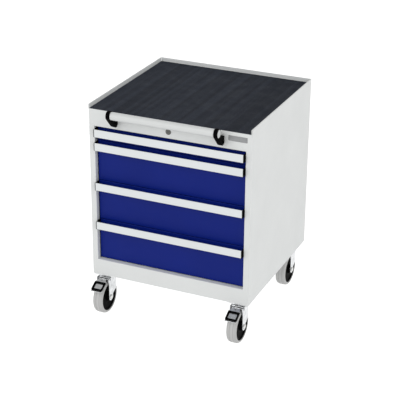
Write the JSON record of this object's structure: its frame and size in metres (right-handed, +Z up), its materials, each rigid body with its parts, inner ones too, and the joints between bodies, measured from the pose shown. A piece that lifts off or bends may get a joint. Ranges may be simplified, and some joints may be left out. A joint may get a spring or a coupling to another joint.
{
  "type": "mobile drawer cabinet",
  "caption": "Light grey sheet-steel workshop cabinet on swivel casters, with blue drawers, a rubber-lined tray top, a push handle and a central lock.",
  "frame": {"origin": "on the floor, in the middle of the overall footprint (brake pedals at the front to the back panel)", "axes": "+Z up, +Y towards the back panel, +X to the right as seen from the front; drawers open towards -Y"},
  "size_m": [0.605, 0.639, 0.8039],
  "materials": {
    "body_paint": "light grey powder coat, fine satin texture",
    "handle_paint": "light grey powder coat, satin",
    "grip_paint": "off-white powder coat on an aluminium strip, satin",
    "drawer_front_paint": "deep blue powder coat, satin",
    "drawer_box_paint": "light grey powder coat",
    "runner_zinc": "zinc plated, drawn along its length",
    "black_plastic": "moulded black plastic",
    "mat_rubber": "dark slate ribbed rubber",
    "bright_steel": "zinc plated steel",
    "lock_metal": "nickel plated, slightly worn",
    "nameplate_metal": "brushed blank plate",
    "caster_zinc": "bright zinc plated pressing",
    "wheel_plastic": "moulded black plastic",
    "tyre_rubber": "grey non-marking rubber"
  },
  "bodies": {
    "cabinet": {"side_panel_left": "body_paint", "side_panel_right": "body_paint", "back_panel": "body_paint", "front_top_rail": "body_paint", "plinth": "body_paint", "tray_top": "body_paint", "bottom_panel": "body_paint", "caster_channels": "body_paint", "rubber_mat": "mat_rubber", "cabinet_runners": "runner_zinc", "push_handle_tube": "handle_paint", "handle_brackets": "black_plastic", "handle_screws": "bright_steel", "lock_housing": "lock_metal", "nameplate": "nameplate_metal", "caster_plates": "caster_zinc", "caster_bolts": "bright_steel"},
    "drawer_1": {"drawer_1_box": "drawer_box_paint", "drawer_1_front": "drawer_front_paint", "drawer_1_grip": "grip_paint", "drawer_1_grip_caps": "black_plastic"},
    "runner_1": {"runner_middle_1": "runner_zinc"},
    "drawer_2": {"drawer_2_box": "drawer_box_paint", "drawer_2_front": "drawer_front_paint", "drawer_2_grip": "grip_paint", "drawer_2_grip_caps": "black_plastic"},
    "runner_2": {"runner_middle_2": "runner_zinc"},
    "drawer_3": {"drawer_3_box": "drawer_box_paint", "drawer_3_front": "drawer_front_paint", "drawer_3_grip": "grip_paint", "drawer_3_grip_caps": "black_plastic"},
    "runner_3": {"runner_middle_3": "runner_zinc"},
    "drawer_4": {"drawer_4_box": "drawer_box_paint", "drawer_4_front": "drawer_front_paint", "drawer_4_grip": "grip_paint", "drawer_4_grip_caps": "black_plastic"},
    "runner_4": {"runner_middle_4": "runner_zinc"},
    "lock": {"lock_cylinder": "lock_metal", "lock_rod": "bright_steel"},
    "locking_bar": {"locking_bar": "bright_steel"},
    "caster_front_left": {"fork_front_left": "caster_zinc", "axle_front_left": "bright_steel"},
    "wheel_front_left": {"wheel_front_left": "wheel_plastic", "tyre_front_left": "tyre_rubber"},
    "brake_front_left": {"brake_pedal_front_left": "caster_zinc", "brake_tread_front_left": "wheel_plastic"},
    "caster_front_right": {"fork_front_right": "caster_zinc", "axle_front_right": "bright_steel"},
    "wheel_front_right": {"wheel_front_right": "wheel_plastic", "tyre_front_right": "tyre_rubber"},
    "brake_front_right": {"brake_pedal_front_right": "caster_zinc", "brake_tread_front_right": "wheel_plastic"},
    "caster_rear_left": {"fork_rear_left": "caster_zinc", "axle_rear_left": "bright_steel"},
    "wheel_rear_left": {"wheel_rear_left": "wheel_plastic", "tyre_rear_left": "tyre_rubber"},
    "caster_rear_right": {"fork_rear_right": "caster_zinc", "axle_rear_right": "bright_steel"},
    "wheel_rear_right": {"wheel_rear_right": "wheel_plastic", "tyre_rear_right": "tyre_rubber"}
  },
  "joints": [
    {"name": "drawer_1_slide", "type": "slide", "parent": "cabinet", "child": "drawer_1", "axis": [0, -1, 0], "range_m": [0, 0.48]},
    {"name": "runner_1_slide", "type": "slide", "parent": "cabinet", "child": "runner_1", "axis": [0, -1, 0], "range_m": [0, 0.24]},
    {"name": "drawer_2_slide", "type": "slide", "parent": "cabinet", "child": "drawer_2", "axis": [0, -1, 0], "range_m": [0, 0.48]},
    {"name": "runner_2_slide", "type": "slide", "parent": "cabinet", "child": "runner_2", "axis": [0, -1, 0], "range_m": [0, 0.24]},
    {"name": "drawer_3_slide", "type": "slide", "parent": "cabinet", "child": "drawer_3", "axis": [0, -1, 0], "range_m": [0, 0.48]},
    {"name": "runner_3_slide", "type": "slide", "parent": "cabinet", "child": "runner_3", "axis": [0, -1, 0], "range_m": [0, 0.24]},
    {"name": "drawer_4_slide", "type": "slide", "parent": "cabinet", "child": "drawer_4", "axis": [0, -1, 0], "range_m": [0, 0.48]},
    {"name": "runner_4_slide", "type": "slide", "parent": "cabinet", "child": "runner_4", "axis": [0, -1, 0], "range_m": [0, 0.24]},
    {"name": "lock_turn", "type": "hinge", "parent": "cabinet", "child": "lock", "pos_m": [0, -0.2555, 0.745], "axis": [0, 1, 0], "range_deg": [0, 90]},
    {"name": "locking_bar_slide", "type": "slide", "parent": "cabinet", "child": "locking_bar", "axis": [0, 0, 1], "range_m": [-0.01132, 0]},
    {"name": "swivel_front_left", "type": "hinge", "parent": "cabinet", "child": "caster_front_left", "pos_m": [-0.261, -0.2105, 0.15], "axis": [0, 0, 1], "continuous": true},
    {"name": "roll_front_left", "type": "hinge", "parent": "caster_front_left", "child": "wheel_front_left", "pos_m": [-0.261, -0.2477, 0.0625], "axis": [1, 0, 0], "continuous": true},
    {"name": "brake_front_left_press", "type": "hinge", "parent": "caster_front_left", "child": "brake_front_left", "pos_m": [-0.261, -0.2505, 0.131], "axis": [1, 0, 0], "range_deg": [0, 6]},
    {"name": "swivel_front_right", "type": "hinge", "parent": "cabinet", "child": "caster_front_right", "pos_m": [0.261, -0.2105, 0.15], "axis": [0, 0, 1], "continuous": true},
    {"name": "roll_front_right", "type": "hinge", "parent": "caster_front_right", "child": "wheel_front_right", "pos_m": [0.261, -0.2477, 0.0625], "axis": [1, 0, 0], "continuous": true},
    {"name": "brake_front_right_press", "type": "hinge", "parent": "caster_front_right", "child": "brake_front_right", "pos_m": [0.261, -0.2505, 0.131], "axis": [1, 0, 0], "range_deg": [0, 6]},
    {"name": "swivel_rear_left", "type": "hinge", "parent": "cabinet", "child": "caster_rear_left", "pos_m": [-0.261, 0.2697, 0.15], "axis": [0, 0, 1], "continuous": true},
    {"name": "roll_rear_left", "type": "hinge", "parent": "caster_rear_left", "child": "wheel_rear_left", "pos_m": [-0.261, 0.2325, 0.0625], "axis": [1, 0, 0], "continuous": true},
    {"name": "swivel_rear_right", "type": "hinge", "parent": "cabinet", "child": "caster_rear_right", "pos_m": [0.261, 0.2697, 0.15], "axis": [0, 0, 1], "continuous": true},
    {"name": "roll_rear_right", "type": "hinge", "parent": "caster_rear_right", "child": "wheel_rear_right", "pos_m": [0.261, 0.2325, 0.0625], "axis": [1, 0, 0], "continuous": true}
  ],
  "couplings": [
    {"joint": "runner_1_slide", "follows": "drawer_1_slide", "ratio": 0.5},
    {"joint": "runner_2_slide", "follows": "drawer_2_slide", "ratio": 0.5},
    {"joint": "runner_3_slide", "follows": "drawer_3_slide", "ratio": 0.5},
    {"joint": "runner_4_slide", "follows": "drawer_4_slide", "ratio": 0.5},
    {"joint": "lock_turn", "follows": "locking_bar_slide", "rad_per_m": -138.76}
  ]
}
